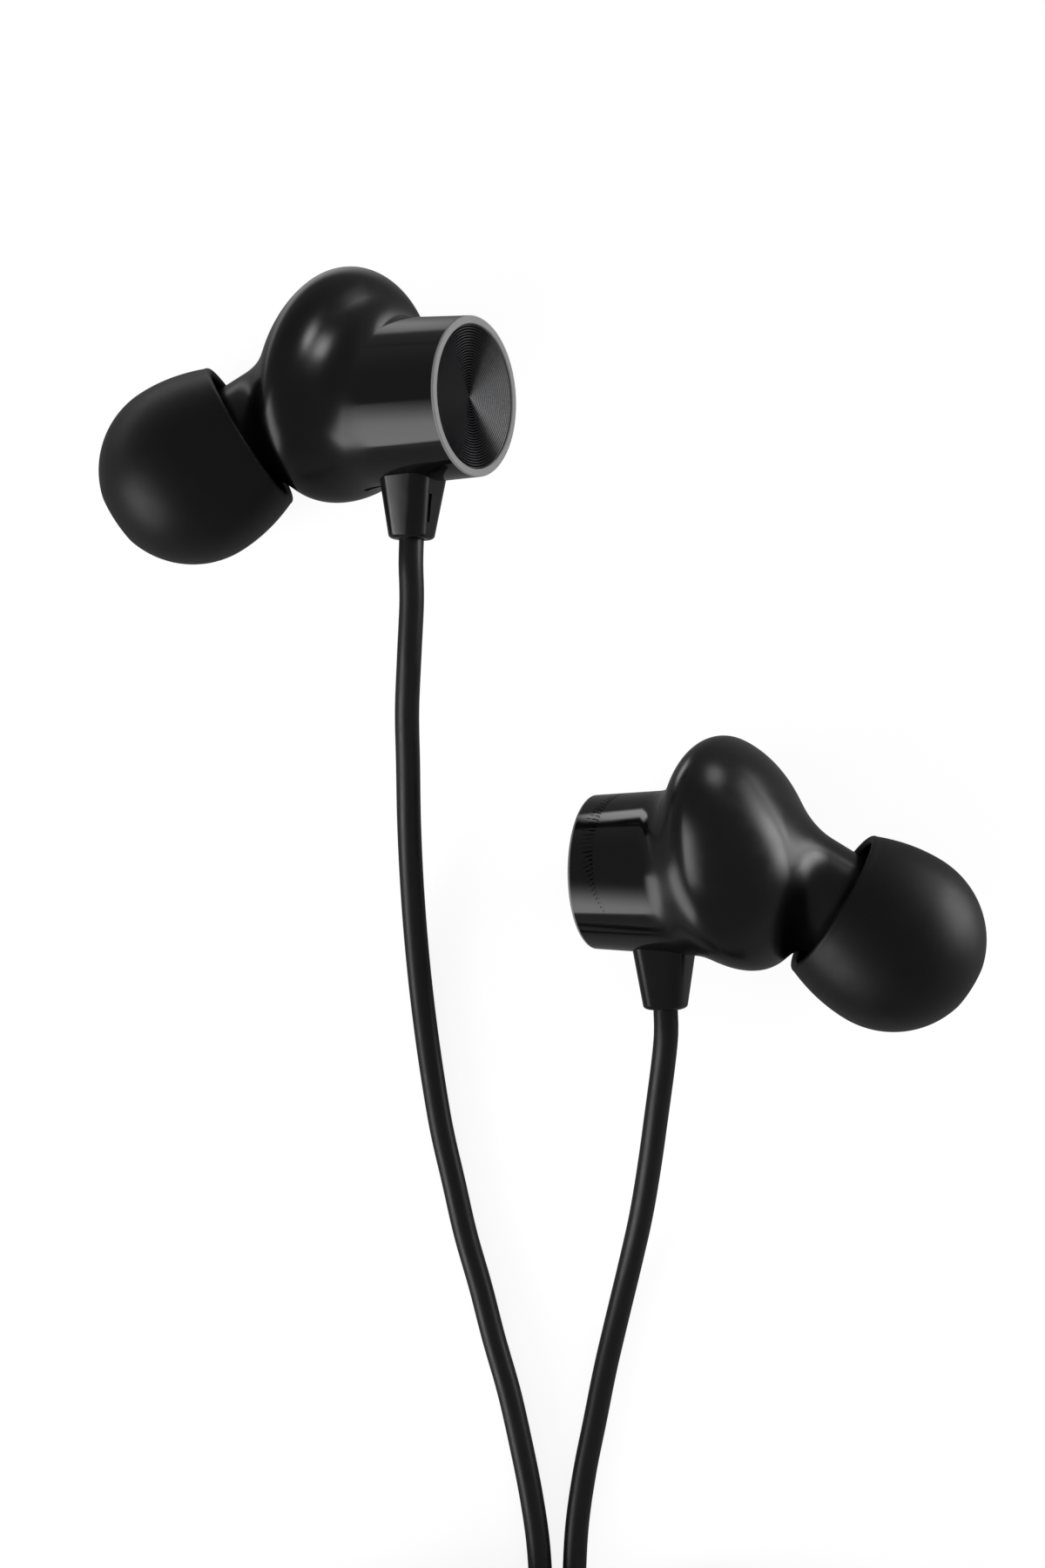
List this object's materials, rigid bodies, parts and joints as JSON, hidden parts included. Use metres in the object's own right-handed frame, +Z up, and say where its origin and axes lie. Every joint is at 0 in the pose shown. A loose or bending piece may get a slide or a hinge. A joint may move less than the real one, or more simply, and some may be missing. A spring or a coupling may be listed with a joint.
{
  "type": "wired earphones",
  "caption": "In-ear wired earphones with soft pull-off ear tips, angled nozzles, gloss barrels with turned end discs, cord boots, coiled cords, a splitter and a stereo plug.",
  "frame": {"origin": "on the table, under the middle of the box round the two buds as they lie", "axes": "+X across the pair towards the right bud, +Y along the table away from the plug, +Z up"},
  "size_m": [0.0703, 0.1283, 0.0152],
  "materials": {
    "gloss_shell": "polished black moulding",
    "tip_silicone": "matt black silicone",
    "trim_grey": "satin grey",
    "turned_metal": "dark, turned in fine rings",
    "boot_black": "satin black",
    "cord_jacket": "satin black",
    "tie_strap": "matt dark grey",
    "mesh_steel": "fine mesh",
    "gasket_grey": "soft foam",
    "driver_steel": "plated",
    "magnet_nickel": "nickel plated",
    "frame_grey": "matt",
    "diaphragm_film": "thin film",
    "coil_copper": "enamelled copper wire",
    "damper_felt": "felt",
    "board_green": "coated board",
    "wire_red": "enamelled",
    "plug_gold": "gold plated",
    "insulator_black": "matt black"
  },
  "bodies": {
    "earphones": {"left_nozzle_mesh": "mesh_steel", "left_front_shell": "gloss_shell", "left_rear_shell": "gloss_shell", "left_trim_ring": "trim_grey", "left_end_disc": "turned_metal", "left_boot": "boot_black", "left_cord_anchor": "boot_black", "left_lead_wires": "wire_red", "left_vent_mesh": "mesh_steel", "left_gasket": "gasket_grey", "left_driver_cover": "driver_steel", "left_driver_frame": "frame_grey", "left_top_plate": "driver_steel", "left_magnet": "magnet_nickel", "left_yoke": "driver_steel", "left_rear_damper": "damper_felt", "left_terminal_board": "board_green", "right_nozzle_mesh": "mesh_steel", "right_front_shell": "gloss_shell", "right_rear_shell": "gloss_shell", "right_trim_ring": "trim_grey", "right_end_disc": "turned_metal", "right_boot": "boot_black", "right_cord_anchor": "boot_black", "right_lead_wires": "wire_red", "right_vent_mesh": "mesh_steel", "right_gasket": "gasket_grey", "right_driver_cover": "driver_steel", "right_driver_frame": "frame_grey", "right_top_plate": "driver_steel", "right_magnet": "magnet_nickel", "right_yoke": "driver_steel", "right_rear_damper": "damper_felt", "right_terminal_board": "board_green", "left_cord": "cord_jacket", "left_cord_coil": "cord_jacket", "right_cord": "cord_jacket", "right_cord_coil": "cord_jacket", "cord_tie": "tie_strap", "y_splitter": "boot_black", "main_cord_coil": "cord_jacket", "main_tie": "tie_strap", "main_cord": "cord_jacket", "plug_strain_relief": "boot_black", "plug_grip": "boot_black", "jack_sleeve": "plug_gold", "jack_ring": "plug_gold", "jack_tip": "plug_gold", "jack_insulators": "insulator_black"},
    "left_ear_tip": {"left_ear_tip": "tip_silicone"},
    "right_ear_tip": {"right_ear_tip": "tip_silicone"},
    "left_diaphragm": {"left_diaphragm": "diaphragm_film", "left_voice_coil": "coil_copper"},
    "right_diaphragm": {"right_diaphragm": "diaphragm_film", "right_voice_coil": "coil_copper"}
  },
  "joints": [
    {"name": "left_ear_tip_pull", "type": "slide", "parent": "earphones", "child": "left_ear_tip", "axis": [-0.8491, -0.5211, -0.0865], "range_m": [0, 0.008]},
    {"name": "left_diaphragm_travel", "type": "slide", "parent": "earphones", "child": "left_diaphragm", "axis": [0.8623, -0.0196, 0.506], "range_m": [-0.00015, 0.00015], "stiffness_N_per_m": 20},
    {"name": "right_ear_tip_pull", "type": "slide", "parent": "earphones", "child": "right_ear_tip", "axis": [0.8527, -0.5222, -0.0159], "range_m": [0, 0.008]},
    {"name": "right_diaphragm_travel", "type": "slide", "parent": "earphones", "child": "right_diaphragm", "axis": [-0.9135, -0.0128, -0.4067], "range_m": [-0.00015, 0.00015], "stiffness_N_per_m": 20}
  ]
}
